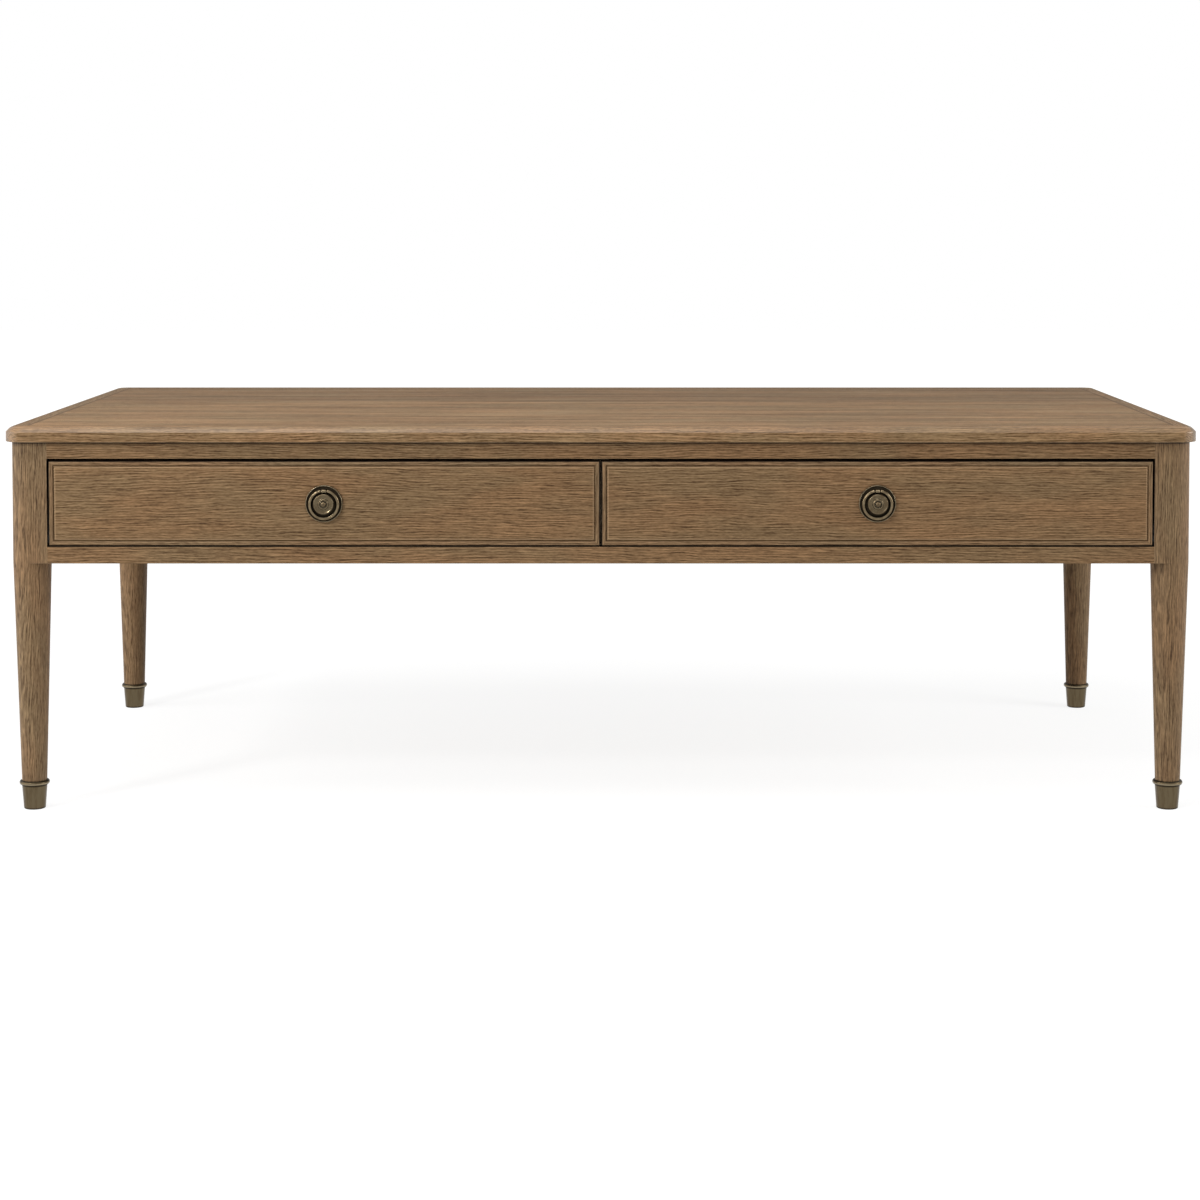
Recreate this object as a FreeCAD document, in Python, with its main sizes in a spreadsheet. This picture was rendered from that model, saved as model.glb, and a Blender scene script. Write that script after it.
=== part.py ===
import FreeCAD, Part
import math
import os
import Sketcher

# Storage coffee table with two drawers. The front faces -Y, X runs along the front, Z is up, and the
# origin is on the floor below the middle of the top. Sizes are in millimetres.

doc = FreeCAD.newDocument("storage_coffee_table")
dims = doc.addObject("Spreadsheet::Sheet", "dims")

DRIVING_SIZES = {
    # top
    "top_length": 1400,
    "top_depth": 700,
    "table_height": 455,
    "top_thickness": 18,
    "top_corner": 22,
    "edge_bevel": 6.5,
    "edge_ease": 9,
    "edge_arris": 1.2,
    "edge_under": 1,
    "lipping_width": 25,
    "lipping_tongue": 7,
    "lipping_tongue_thickness": 6,
    # legs and ferrules
    "overhang": 6,
    "leg_block": 44.6,
    "leg_ankle": 29.2,
    "spigot_top": 26,
    "spigot_foot": 21,
    "ferrule_height": 34,
    "ferrule_floor": 4,
    "ferrule_foot": 25.5,
    "ferrule_foot_round": 1.6,
    "ferrule_neck": 29.6,
    "ferrule_bead": 2.8,
    # rails and aprons
    "rail_height": 19.6,
    "rail_depth": 46,
    "opening_height": 103.8,
    "apron_thickness": 20,
    "tenon_length": 24,
    "rail_tenon_width": 30,
    "rail_tenon_thickness": 10,
    "apron_tenon_thickness": 8,
    "apron_tenon_shoulder": 22,
    "joint_fit": 0.1,
    # divider, packers and runners
    "divider_thickness": 18,
    "divider_housing": 6,
    "divider_setback": 2,
    "packer_height": 60,
    "runner_height": 15.4,
    "runner_play": 0.4,
    "runner_stop": 0.5,
    # buttons that hold the top down
    "button_width": 26,
    "button_reach": 30,
    "button_thickness": 16,
    "button_tongue": 8,
    "button_groove_drop": 9,
    "button_groove_width": 6,
    "button_inset": 160,
    # drawers
    "gap_top": 3,
    "gap_bottom": 1.4,
    "gap_side": 2,
    "gap_centre": 2.3,
    "front_thickness": 20,
    "bead_width": 5.4,
    "bead_depth": 8,
    "bead_proud": 0.4,
    "bead_round": 2,
    "quirk_width": 2,
    "quirk_depth": 1.6,
    "side_clear": 8,
    "side_thickness": 15,
    "side_height": 80,
    "side_lift": 6,
    "back_space": 86,
    "back_thickness": 12,
    "bottom_thickness": 6,
    "bottom_lift": 8,
    "groove_depth": 5,
    "runner_groove": 8,
    "tongue_length": 8,
    "tongue_tip": 9,
    "tongue_root": 7,
    "tail_width": 22,
    "tail_flare": 2,
    # ring pulls
    "plate_diameter": 44,
    "plate_floor": 1.5,
    "plate_rim": 3.2,
    "plate_rim_width": 1.5,
    "ring_diameter": 32.4,
    "ring_wire": 4.6,
    "ring_lift": 4.5,
    "ring_drop": 1,
    "ring_gap": 10,
    "lug_width": 4.6,
    "lug_radius": 2.7,
    "pin_diameter": 2.6,
    "pin_play": 0.06,
    "knuckle_diameter": 5,
    "boss_diameter": 24,
    "boss_height": 9,
    "boss_foot": 17,
    "boss_cove": 7,
    "boss_rim": 1.2,
    "boss_dish": 1.1,
    "boss_dish_radius": 9,
    "boss_crown": 13.6,
    "boss_crown_rise": 2.2,
    "boss_quirk": 1,
    "boss_button": 7,
    "boss_button_rise": 2.8,
    "pull_screw_diameter": 4,
    "pull_screw_head": 8,
    "pull_screw_head_height": 2.6,
    "pull_screw_grip": 5,
    # wood screws
    "screw_diameter": 4,
    "screw_head": 8,
    "screw_length": 26,
    "screw_play": 0.15,
}


class Size:
    """A length together with the sheet expression that gives it."""

    def __init__(self, value, text):
        self.value = value
        self.text = text

    def __add__(self, other):
        other = as_size(other)
        return Size(self.value + other.value, f"({self.text} + {other.text})")

    def __sub__(self, other):
        other = as_size(other)
        return Size(self.value - other.value, f"({self.text} - {other.text})")

    def __mul__(self, other):
        other = as_size(other)
        return Size(self.value * other.value, f"({self.text} * {other.text})")

    def __truediv__(self, other):
        other = as_size(other)
        return Size(self.value / other.value, f"({self.text} / {other.text})")

    def __neg__(self):
        return Size(-self.value, f"(-1 * {self.text})")

    def root(self):
        return Size(math.sqrt(self.value), f"sqrt({self.text})")

    def arcsine(self):
        return Size(math.degrees(math.asin(self.value)), f"(asin({self.text}) / 1 deg)")

    __radd__ = __add__
    __rmul__ = __mul__


def as_size(value):
    return value if isinstance(value, Size) else Size(float(value), repr(float(value)))


for row, (alias, number) in enumerate(DRIVING_SIZES.items(), start=1):
    dims.set(f"A{row}", alias)
    dims.set(f"B{row}", str(number))
    dims.setAlias(f"B{row}", alias)
doc.recompute()

size = {alias: Size(float(number), f"dims.{alias}") for alias, number in DRIVING_SIZES.items()}
zero = as_size(0)
full_turn = as_size(360)
subparts = []


def bind(item, **sizes):
    for name, value in sizes.items():
        item.setExpression(name, as_size(value).text)


def place(item, x, y, z):
    for letter, value in zip("xyz", (x, y, z)):
        item.setExpression("Placement.Base." + letter, as_size(value).text)


def finished(item, label):
    item.Label = label
    subparts.append(item)
    return item


def both(hand, low, high):
    """The span between low and high on the right-hand side, or its mirror image on the left."""
    low = as_size(low)
    high = as_size(high)
    return (low, high) if hand > 0 else (-high, -low)


def about(middle, breadth):
    return (middle - breadth / 2, middle + breadth / 2)


def wider(span, play):
    return (span[0] - play, span[1] + play)


def block(x, y, z):
    board = doc.addObject("Part::Box", "board")
    for edge, letter, (low, high) in zip(("Length", "Width", "Height"), "xyz", (x, y, z)):
        bind(board, **{edge: high - low})
        board.setExpression("Placement.Base." + letter, as_size(low).text)
    return board


def wedge(x, y, z, x_far, z_far, turn=None):
    """A block whose X and Z spans change evenly from the low Y face to the high Y face."""
    item = doc.addObject("Part::Wedge", "wedge")
    bind(item, Xmin=x[0], Xmax=x[1], Ymin=y[0], Ymax=y[1], Zmin=z[0], Zmax=z[1])
    bind(item, X2min=x_far[0], X2max=x_far[1], Z2min=z_far[0], Z2max=z_far[1])
    if turn is not None:
        rotation = FreeCAD.Rotation(FreeCAD.Vector(0, 0, 1), turn)
        item.Placement = FreeCAD.Placement(FreeCAD.Vector(), rotation)
    return item


def fuse(*items):
    item = doc.addObject("Part::MultiFuse", "joined")
    item.Shapes = list(items)
    item.Refine = True
    return item


def cut(base, *tools):
    item = doc.addObject("Part::Cut", "cut")
    item.Base = base
    item.Tool = tools[0] if len(tools) == 1 else fuse(*tools)
    item.Refine = True
    return item


def common(first, second):
    item = doc.addObject("Part::MultiCommon", "shared")
    item.Shapes = [first, second]
    item.Refine = True
    return item


def group(*items):
    item = doc.addObject("Part::Compound", "group")
    item.Links = list(items)
    return item


def new_body():
    return doc.addObject("PartDesign::Body", "body")


def sketch_on(body, role, lift=None, rise=None):
    sketch = body.newObject("Sketcher::SketchObject", "outline")
    plane = next(item for item in body.Origin.OriginFeatures if item.Role == role)
    sketch.AttachmentSupport = (plane, [""])
    sketch.MapMode = "FlatFace"
    for letter, value in (("y", rise), ("z", lift)):
        if value is not None:
            sketch.setExpression("AttachmentOffset.Base." + letter, as_size(value).text)
    return sketch


def pin_point(sketch, curve, end, u, v):
    """Ties one end of a curve to its place on the sketch."""
    for kind, axis, value in (("DistanceX", -2, as_size(u)), ("DistanceY", -1, as_size(v))):
        if "dims." not in value.text:
            sketch.addConstraint(Sketcher.Constraint("PointOnObject", curve, end, axis))
        else:
            index = sketch.addConstraint(Sketcher.Constraint(kind, -1, 1, curve, end, value.value))
            sketch.setExpression(f"Constraints[{index}]", value.text)


def arc_between(start, end, radius, sense):
    """The shorter arc from start to end. Its centre is left of the chord when sense is 1, right when -1."""
    chord = end - start
    across = FreeCAD.Vector(-chord.y, chord.x, 0).normalize()
    offset = math.sqrt(max(radius**2 - (chord.Length / 2) ** 2, 0))
    centre = (start + end) * 0.5 + across * offset * sense
    angles = [math.atan2(point.y - centre.y, point.x - centre.x) for point in (start, end)]
    if sense < 0:
        angles.reverse()
    circle = Part.Circle(centre, FreeCAD.Vector(0, 0, 1), radius)
    return Part.ArcOfCircle(circle, *angles)


def draw(sketch, path):
    """Draws a closed path. A step of two sizes is a corner; a step of four is a corner reached by an arc
    of the given radius and sense."""
    steps = [tuple(step) + (None, 0) if len(step) == 2 else tuple(step) for step in path]
    points = [FreeCAD.Vector(as_size(step[0]).value, as_size(step[1]).value, 0) for step in steps]
    ends = []
    for index, step in enumerate(steps):
        start = points[index - 1]
        if step[2] is None:
            curve = sketch.addGeometry(Part.LineSegment(start, points[index]), False)
            ends.append((curve, 1, 2))
        else:
            curve = sketch.addGeometry(arc_between(start, points[index], step[2].value, step[3]), False)
            ends.append((curve, 1, 2) if step[3] > 0 else (curve, 2, 1))
    for index, (curve, first, last) in enumerate(ends):
        following = ends[(index + 1) % len(ends)]
        sketch.addConstraint(Sketcher.Constraint("Coincident", curve, last, following[0], following[1]))
    for (curve, first, last), step in zip(ends, steps):
        pin_point(sketch, curve, last, step[0], step[1])
        if step[2] is not None:
            index = sketch.addConstraint(Sketcher.Constraint("Radius", curve, step[2].value))
            sketch.setExpression(f"Constraints[{index}]", step[2].text)
    return sketch


def draw_circle(sketch, u, v, radius):
    centre = FreeCAD.Vector(as_size(u).value, as_size(v).value, 0)
    curve = sketch.addGeometry(Part.Circle(centre, FreeCAD.Vector(0, 0, 1), radius.value), False)
    pin_point(sketch, curve, 3, u, v)
    index = sketch.addConstraint(Sketcher.Constraint("Radius", curve, radius.value))
    sketch.setExpression(f"Constraints[{index}]", radius.text)
    return sketch


def pad(body, sketch, length, centred=False):
    feature = body.newObject("PartDesign::Pad", "pad")
    feature.Profile = sketch
    bind(feature, Length=length)
    if centred:
        feature.SideType = "Symmetric"
    body.Tip = feature
    return feature


def pocket(body, sketch, length):
    """Cuts the sketch evenly to both sides of its plane."""
    feature = body.newObject("PartDesign::Pocket", "pocket")
    feature.Profile = sketch
    bind(feature, Length=length)
    feature.SideType = "Symmetric"
    body.Tip = feature
    return feature


def revolve(body, sketch, axis, angle=None):
    feature = body.newObject("PartDesign::Revolution", "turned")
    feature.Profile = sketch
    feature.ReferenceAxis = (sketch, [axis])
    if angle is None:
        feature.Angle = 360
    else:
        bind(feature, Angle=angle)
        feature.Midplane = True
    body.Tip = feature
    return feature


def dress(body, kind, wanted, **sizes):
    """Rounds or bevels every edge of the tip that the wanted test picks."""
    doc.recompute()
    base = body.Tip
    names = [f"Edge{n}" for n, edge in enumerate(base.Shape.Edges, start=1) if wanted(edge)]
    feature = body.newObject("PartDesign::" + kind, kind.lower())
    feature.Base = (base, names)
    bind(feature, **sizes)
    body.Tip = feature
    return feature


def level(height, margin=1e-4):
    """Tests whether an edge lies wholly at one height."""
    return lambda edge: max(abs(edge.BoundBox.ZMin - height), abs(edge.BoundBox.ZMax - height)) < margin


def upright(edge):
    return edge.BoundBox.ZLength > 1 and edge.BoundBox.XLength < 1e-4 and edge.BoundBox.YLength < 1e-4


# Places that several pieces share.
half_x = size["top_length"] / 2
half_y = size["top_depth"] / 2
frame_x = half_x - size["overhang"]
frame_y = half_y - size["overhang"]
leg_x = frame_x - size["leg_block"] / 2
leg_y = frame_y - size["leg_block"] / 2
jamb_x = frame_x - size["leg_block"]
block_y = frame_y - size["leg_block"]
apron_x = frame_x - size["apron_thickness"]
apron_y = frame_y - size["apron_thickness"]
table_top = size["table_height"]
frame_top = table_top - size["top_thickness"]
opening_top = frame_top - size["rail_height"]
opening_bottom = opening_top - size["opening_height"]
frame_bottom = opening_bottom - size["rail_height"]
fit = size["joint_fit"]
hands = {"left": -1, "right": 1}
ends = {"front": -1, "back": 1}


def wood_screw(x, y, z, direction, play=0):
    """A countersunk screw with the flat of its head at the given place, pointing up (Z) or sideways (X)."""
    head = doc.addObject("Part::Cone", "head")
    shank = doc.addObject("Part::Cylinder", "shank")
    rise = (size["screw_head"] - size["screw_diameter"]) / 2
    bind(head, Radius1=size["screw_head"] / 2 + play, Radius2=size["screw_diameter"] / 2 + play, Height=rise)
    bind(shank, Radius=size["screw_diameter"] / 2 + play, Height=size["screw_length"] + play)
    for item in (head, shank):
        axis = FreeCAD.Rotation(FreeCAD.Vector(0, 0, 1), FreeCAD.Vector(*direction))
        item.Placement = FreeCAD.Placement(FreeCAD.Vector(), axis)
        place(item, x, y, z)
    return fuse(head, shank)


# Top: one moulded slab, divided into the panel and the four mitred lippings with their tongues.
slab = new_body()
draw(
    sketch_on(slab, "XY_Plane", lift=frame_top),
    [(-half_x, -half_y), (half_x, -half_y), (half_x, half_y), (-half_x, half_y)],
)
pad(slab, slab.Group[-1], size["top_thickness"])
dress(slab, "Fillet", upright, Radius=size["top_corner"])
dress(slab, "Chamfer", level(table_top.value), Size=size["edge_bevel"])
dress(slab, "Fillet", level(table_top.value), Radius=size["edge_ease"])
dress(slab, "Fillet", level((table_top - size["edge_bevel"]).value), Radius=size["edge_arris"])
dress(slab, "Fillet", level(frame_top.value), Radius=size["edge_under"])

lip = size["lipping_width"]
tongue_z = about(frame_top + size["top_thickness"] / 2, size["lipping_tongue_thickness"])
tongue_end = lip + size["lipping_tongue"]


def mitred(half_long, half_wide, outer, inner, z, turn):
    """A strip with mitred ends between two insets from the edge of the top."""
    return wedge(
        (outer - half_long, half_long - outer),
        (outer - half_wide, inner - half_wide),
        z,
        (inner - half_long, half_long - inner),
        z,
        turn,
    )


tongue_grooves = []
for quarter, name in enumerate(("front", "right", "back", "left")):
    half_long, half_wide = (half_y, half_x) if quarter % 2 else (half_x, half_y)
    turn = 90 * quarter
    outside = mitred(half_long, half_wide, zero, lip, (frame_top, table_top), turn)
    lip_tongue = mitred(half_long, half_wide, lip, tongue_end, tongue_z, turn)
    tongue_grooves.append(mitred(half_long, half_wide, lip, tongue_end + fit, wider(tongue_z, fit), turn))
    finished(fuse(common(slab, outside), lip_tongue), "top_lipping_" + name)

core = block((lip - half_x, half_x - lip), (lip - half_y, half_y - lip), (frame_top, table_top))

# Buttons hold the top to the side and back aprons; screws behind the lipping's tongue hold it to the
# front rail.
button_z = (frame_top - size["button_thickness"], frame_top)
groove_z = (
    frame_top - size["button_groove_drop"] - size["button_groove_width"],
    frame_top - size["button_groove_drop"],
)
button_tongue_z = (groove_z[0] + fit, groove_z[1] - fit)
button_groove_end = size["button_tongue"] + fit * 5
buttons = []
screw_places = []
for hand in hands.values():
    for end in ends.values():
        along = about(end * (block_y - size["button_inset"]), size["button_width"])
        body_x = both(hand, apron_x - size["button_reach"], apron_x)
        tongue_x = both(hand, apron_x, apron_x + size["button_tongue"])
        screw_x = hand * (apron_x - size["button_reach"] / 2)
        screw_places.append((screw_x, end * (block_y - size["button_inset"]), button_z[0]))
        buttons.append((block(body_x, along, button_z), block(tongue_x, along, button_tongue_z)))
for hand in hands.values():
    along = about(hand * (jamb_x / 2), size["button_width"])
    body_y = (apron_y - size["button_reach"], apron_y)
    tongue_y = (apron_y, apron_y + size["button_tongue"])
    screw_places.append((hand * (jamb_x / 2), apron_y - size["button_reach"] / 2, button_z[0]))
    buttons.append((block(along, body_y, button_z), block(along, tongue_y, button_tongue_z)))
rail_screws = [
    (hand * jamb_x * share, tongue_end + size["screw_head"] - half_y, opening_top)
    for hand in hands.values()
    for share in (0.3, 0.8)
]
up = (0, 0, 1)
play = size["screw_play"]
solid_buttons = [
    cut(fuse(*pieces), wood_screw(*spot, up, play)) for pieces, spot in zip(buttons, screw_places)
]
finished(group(*solid_buttons), "top_buttons")
finished(group(*[wood_screw(*spot, up) for spot in screw_places + rail_screws]), "top_screws")
top_holes = [wood_screw(*spot, up, play) for spot in screw_places + rail_screws]
finished(cut(core, *tongue_grooves, *top_holes), "top_panel")

# Rails and aprons, each with a tenon at both ends. The same bar, a little larger, cuts the mortises.
tenon_x = jamb_x + size["tenon_length"]
tenon_y = block_y + size["tenon_length"]
rail_y = (-frame_y, size["rail_depth"] - frame_y)
rail_tenon_y = about(size["rail_depth"] / 2 - frame_y, size["rail_tenon_width"])
apron_tenon_z = (frame_bottom + size["apron_tenon_shoulder"], frame_top - size["apron_tenon_shoulder"])
side_tenon_x = about(frame_x - size["apron_thickness"] / 2, size["apron_tenon_thickness"])
back_tenon_y = about(frame_y - size["apron_thickness"] / 2, size["apron_tenon_thickness"])

front_mortises = []
rail_blanks = {}
for name, low, high in (("top", opening_top, frame_top), ("bottom", frame_bottom, opening_bottom)):
    tenon_z = about((low + high) / 2, size["rail_tenon_thickness"])
    rail_blanks[name] = fuse(
        block((-jamb_x, jamb_x), rail_y, (low, high)),
        block((-tenon_x, tenon_x), rail_tenon_y, tenon_z),
    )
    front_mortises.append(
        block(wider((-tenon_x, tenon_x), fit), wider(rail_tenon_y, fit), wider(tenon_z, fit))
    )
rail_screw_holes = [wood_screw(*spot, up, play) for spot in rail_screws]
finished(cut(rail_blanks["top"], *rail_screw_holes), "front_top_rail")
finished(rail_blanks["bottom"], "front_bottom_rail")

back_groove = block((-jamb_x, jamb_x), (apron_y, apron_y + button_groove_end), groove_z)
divider_x = about(zero, size["divider_thickness"])
divider_housing = block(
    wider(divider_x, fit),
    (apron_y, apron_y + size["divider_housing"] + fit),
    (frame_bottom, frame_top),
)
back_apron = fuse(
    block((-jamb_x, jamb_x), (apron_y, frame_y), (frame_bottom, frame_top)),
    block((-tenon_x, tenon_x), back_tenon_y, apron_tenon_z),
)
finished(cut(back_apron, back_groove, divider_housing), "back_apron")
back_mortise = block(wider((-tenon_x, tenon_x), fit), wider(back_tenon_y, fit), wider(apron_tenon_z, fit))

runner_z = about(
    opening_bottom + size["gap_bottom"] + size["side_lift"] + size["side_height"] / 2,
    size["runner_height"],
)
runner_middle = (runner_z[0] + runner_z[1]) / 2
runner_thickness = size["side_clear"] + size["runner_groove"] - size["runner_play"]
runner_y = (size["front_thickness"] + size["runner_stop"] - frame_y, apron_y)
runner_length = runner_y[1] - runner_y[0]

side_mortises = {}
for name, hand in hands.items():
    span_x = both(hand, apron_x, frame_x)
    span_tenon = both(hand, *side_tenon_x)
    side_apron = fuse(
        block(span_x, (-block_y, block_y), (frame_bottom, frame_top)),
        block(span_tenon, (-tenon_y, tenon_y), apron_tenon_z),
    )
    groove = block(both(hand, apron_x, apron_x + button_groove_end), (-block_y, block_y), groove_z)
    finished(cut(side_apron, groove), f"side_apron_{name}")
    side_mortises[name] = block(
        wider(span_tenon, fit), wider((-tenon_y, tenon_y), fit), wider(apron_tenon_z, fit)
    )

# Legs: turned below the apron, with three square corners left on the block between the rails.
leg_radius = size["leg_block"] / 2
ankle = size["leg_ankle"] / 2
for end_name, end in ends.items():
    for name, hand in hands.items():
        leg = new_body()
        place(leg, hand * leg_x, end * leg_y, zero)
        turning = draw(
            sketch_on(leg, "XZ_Plane"),
            [
                (zero, size["ferrule_floor"] + fit),
                (size["spigot_foot"] / 2, size["ferrule_floor"] + fit),
                (size["spigot_top"] / 2, size["ferrule_height"]),
                (ankle, size["ferrule_height"]),
                (leg_radius, frame_bottom),
                (leg_radius, frame_top),
                (zero, frame_top),
            ],
        )
        revolve(leg, turning, "V_Axis")
        corners = draw(
            sketch_on(leg, "XY_Plane", lift=frame_bottom),
            [
                (zero, end * leg_radius),
                (-hand * leg_radius, end * leg_radius),
                (-hand * leg_radius, -end * leg_radius),
                (hand * leg_radius, -end * leg_radius),
                (hand * leg_radius, zero),
                (zero, zero),
            ],
        )
        pad(leg, corners, frame_top - frame_bottom)
        mortises = front_mortises if end < 0 else [back_mortise]
        finished(cut(leg, *mortises, side_mortises[name]), f"leg_{end_name}_{name}")

        ferrule = new_body()
        place(ferrule, hand * leg_x, end * leg_y, zero)
        neck = size["ferrule_neck"] / 2
        foot = size["ferrule_foot"] / 2
        bead = size["ferrule_bead"]
        bead_z = size["ferrule_height"] - bead
        rim = size["spigot_top"] / 2 + fit
        cup = draw(
            sketch_on(ferrule, "XZ_Plane"),
            [
                (zero, zero),
                (foot - size["ferrule_foot_round"], zero),
                (foot, size["ferrule_foot_round"], size["ferrule_foot_round"], 1),
                (neck, bead_z - bead),
                (neck + bead, bead_z, bead, 1),
                (neck, size["ferrule_height"], bead, 1),
                (rim, size["ferrule_height"]),
                (size["spigot_foot"] / 2 + fit, size["ferrule_floor"]),
                (zero, size["ferrule_floor"]),
            ],
        )
        revolve(ferrule, cup, "V_Axis")
        finished(ferrule, f"ferrule_{end_name}_{name}")

# Divider, packers and the runners that the drawer sides hang on.
nose_y = (size["front_thickness"] + size["divider_setback"] - frame_y, size["rail_depth"] - frame_y)
divider_y = (size["rail_depth"] - frame_y, apron_y + size["divider_housing"])
runner_screws = []
runner_holes = {}
for bay, hand in hands.items():
    for side, face, toward in (("outer", jamb_x, 1), ("inner", size["divider_thickness"] / 2, -1)):
        far = face - toward * runner_thickness
        low, high = (far, face) if toward > 0 else (face, far)
        spots = [
            (hand * far, runner_y[0] + runner_length * share, runner_middle)
            for share in ((0.2, 0.8) if toward > 0 else (0.3, 0.7) if hand > 0 else (0.4, 0.6))
        ]
        sideways = (hand * toward, 0, 0)
        runner = block(both(hand, low, high), runner_y, runner_z)
        holes = [wood_screw(*spot, sideways, play) for spot in spots]
        finished(cut(runner, *holes), f"runner_{bay}_{side}")
        runner_holes[bay, side] = holes
        runner_screws += [wood_screw(*spot, sideways) for spot in spots]
    packer = block(
        both(hand, jamb_x, apron_x), (-block_y, block_y), about(runner_middle, size["packer_height"])
    )
    finished(cut(packer, *runner_holes[bay, "outer"]), f"runner_packer_{bay}")
finished(group(*runner_screws), "runner_screws")
divider = fuse(
    block(divider_x, divider_y, (frame_bottom, frame_top)),
    block(divider_x, nose_y, (opening_bottom, opening_top)),
)
finished(cut(divider, *runner_holes["left", "inner"], *runner_holes["right", "inner"]), "centre_divider")

# Drawers.
face_y = -frame_y
front_back = face_y + size["front_thickness"]
box_end = apron_y - size["back_space"]
front_z = (opening_bottom + size["gap_bottom"], opening_top - size["gap_top"])
box_bottom = front_z[0] + size["side_lift"]
box_top = box_bottom + size["side_height"]
bottom_z = (box_bottom + size["bottom_lift"], box_bottom + size["bottom_lift"] + size["bottom_thickness"])
back_y = (box_end - size["back_thickness"], box_end)
rebate_y = face_y + size["bead_depth"]
front_x = (size["gap_centre"] / 2, jamb_x - size["gap_side"])
box_x = (size["divider_thickness"] / 2 + size["side_clear"], jamb_x - size["side_clear"])
pull_x = (front_x[0] + front_x[1]) / 2
pull_z = (front_z[0] + front_z[1]) / 2
bottom_edge = size["side_thickness"] - size["groove_depth"]
tail_share = (0.25, 0.75)

plate_radius = size["plate_diameter"] / 2
ring_radius = size["ring_diameter"] / 2
wire = size["ring_wire"] / 2
hinge_half = size["ring_gap"] / 2
hinge_rise = (ring_radius * ring_radius - hinge_half * hinge_half).root()
hinge_z = hinge_rise - size["ring_drop"]
knuckle = size["knuckle_diameter"] / 2
pin_radius = size["pin_diameter"] / 2


def drawer_front(hand):
    bead_w = size["bead_width"]
    inset = bead_w + size["quirk_width"]
    field_x = (front_x[0] + bead_w, front_x[1] - bead_w)
    field_z = (front_z[0] + bead_w, front_z[1] - bead_w)
    flat_x = (front_x[0] + inset, front_x[1] - inset)
    flat_z = (front_z[0] + inset, front_z[1] - inset)
    quirk_y = face_y + size["quirk_depth"]
    board = fuse(
        block(both(hand, *front_x), (rebate_y, front_back), front_z),
        block(both(hand, *field_x), (quirk_y, rebate_y), field_z),
        wedge(both(hand, *flat_x), (face_y, quirk_y), flat_z, both(hand, *field_x), field_z),
    )
    slots = [tongue(hand, middle, (front_z[0], box_top + fit), fit) for middle in tongue_middles]
    groove = block(
        both(hand, box_x[0] + bottom_edge, box_x[1] - bottom_edge),
        (front_back - size["groove_depth"], front_back),
        wider(bottom_z, fit),
    )
    hole = doc.addObject("Part::Cylinder", "hole")
    bind(hole, Radius=size["pull_screw_diameter"] / 2 + size["screw_play"], Height=size["front_thickness"])
    hole.Placement = FreeCAD.Placement(
        FreeCAD.Vector(), FreeCAD.Rotation(FreeCAD.Vector(0, 0, 1), FreeCAD.Vector(0, 1, 0))
    )
    place(hole, hand * pull_x, face_y, pull_z)
    return cut(board, *slots, groove, hole)


tongue_middles = (box_x[0] + size["side_thickness"] / 2, box_x[1] - size["side_thickness"] / 2)


def tongue(hand, middle, z, play=zero):
    """The dovetail tongue on the front end of a drawer side."""
    tip = wider(both(hand, *about(middle, size["tongue_tip"])), play)
    neck = wider(both(hand, *about(middle, size["tongue_root"])), play)
    return wedge(tip, (front_back - size["tongue_length"] - play, front_back), z, neck, z)


def tail(span_x, share, play=zero):
    """One dovetail of a drawer side, widest at the back of the drawer."""
    middle = bottom_z[1] + (box_top - bottom_z[1]) * share
    broad = wider(about(middle, size["tail_width"]), play)
    narrow = wider(about(middle, size["tail_width"] - size["tail_flare"] * 2), play)
    return wedge(wider(span_x, play), back_y, narrow, wider(span_x, play), broad)


def bead_strips(hand):
    """Four strips with mitred ends and a rounded nose, let in round the front of a drawer."""
    bead_w = size["bead_width"]
    x0, x1 = both(hand, *front_x)
    z0, z1 = front_z
    outlines = (
        [(x0, z0), (x1, z0), (x1 - bead_w, z0 + bead_w), (x0 + bead_w, z0 + bead_w)],
        [(x1, z0), (x1, z1), (x1 - bead_w, z1 - bead_w), (x1 - bead_w, z0 + bead_w)],
        [(x1, z1), (x0, z1), (x0 + bead_w, z1 - bead_w), (x1 - bead_w, z1 - bead_w)],
        [(x0, z1), (x0, z0), (x0 + bead_w, z0 + bead_w), (x0 + bead_w, z1 - bead_w)],
    )
    nose = (face_y - size["bead_proud"]).value
    strips = []
    for outline in outlines:
        strip = new_body()
        sketch = draw(sketch_on(strip, "XZ_Plane", lift=-rebate_y), outline)
        pad(strip, sketch, size["bead_depth"] + size["bead_proud"])

        def along_nose(edge):
            box = edge.BoundBox
            return abs(box.YMin - nose) < 1e-4 and abs(box.YMax - nose) < 1e-4 and (
                box.XLength < 1e-4 or box.ZLength < 1e-4
            )

        dress(strip, "Fillet", along_nose, Radius=size["bead_round"])
        strips.append(strip)
    return group(*strips)


def at_pull(body, hand, drop=zero):
    place(body, hand * pull_x, face_y, pull_z - drop)
    return body


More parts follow.
